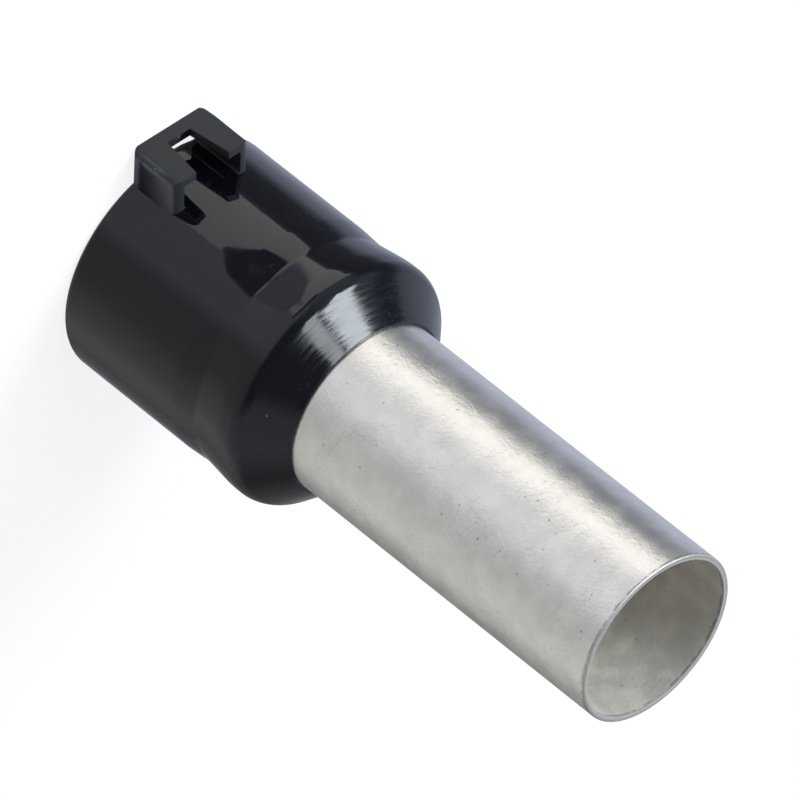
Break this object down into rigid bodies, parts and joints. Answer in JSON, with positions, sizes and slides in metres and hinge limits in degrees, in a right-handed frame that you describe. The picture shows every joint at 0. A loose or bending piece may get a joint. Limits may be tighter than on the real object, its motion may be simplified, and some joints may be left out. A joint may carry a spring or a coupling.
{
  "type": "insulated wire ferrule with marker holder",
  "caption": "Tubular crimp ferrule for stranded wire: a thin tinned sleeve in a black moulded collar that guides the wire in and carries an open holder for a marker.",
  "frame": {"origin": "on the ferrule's axis, in the plane of the collar's rear face where the wire goes in", "axes": "+Z along the axis from the collar to the sleeve's tip, -Y towards the marker holder, +X completes the right-handed set"},
  "size_m": [0.0114, 0.0126, 0.0285],
  "materials": {
    "tinned_copper": "satin tin plating on copper",
    "black_plastic": "glossy black moulded polypropylene"
  },
  "bodies": {
    "root": {"sleeve": "tinned_copper", "collar": "black_plastic"}
  },
  "joints": []
}
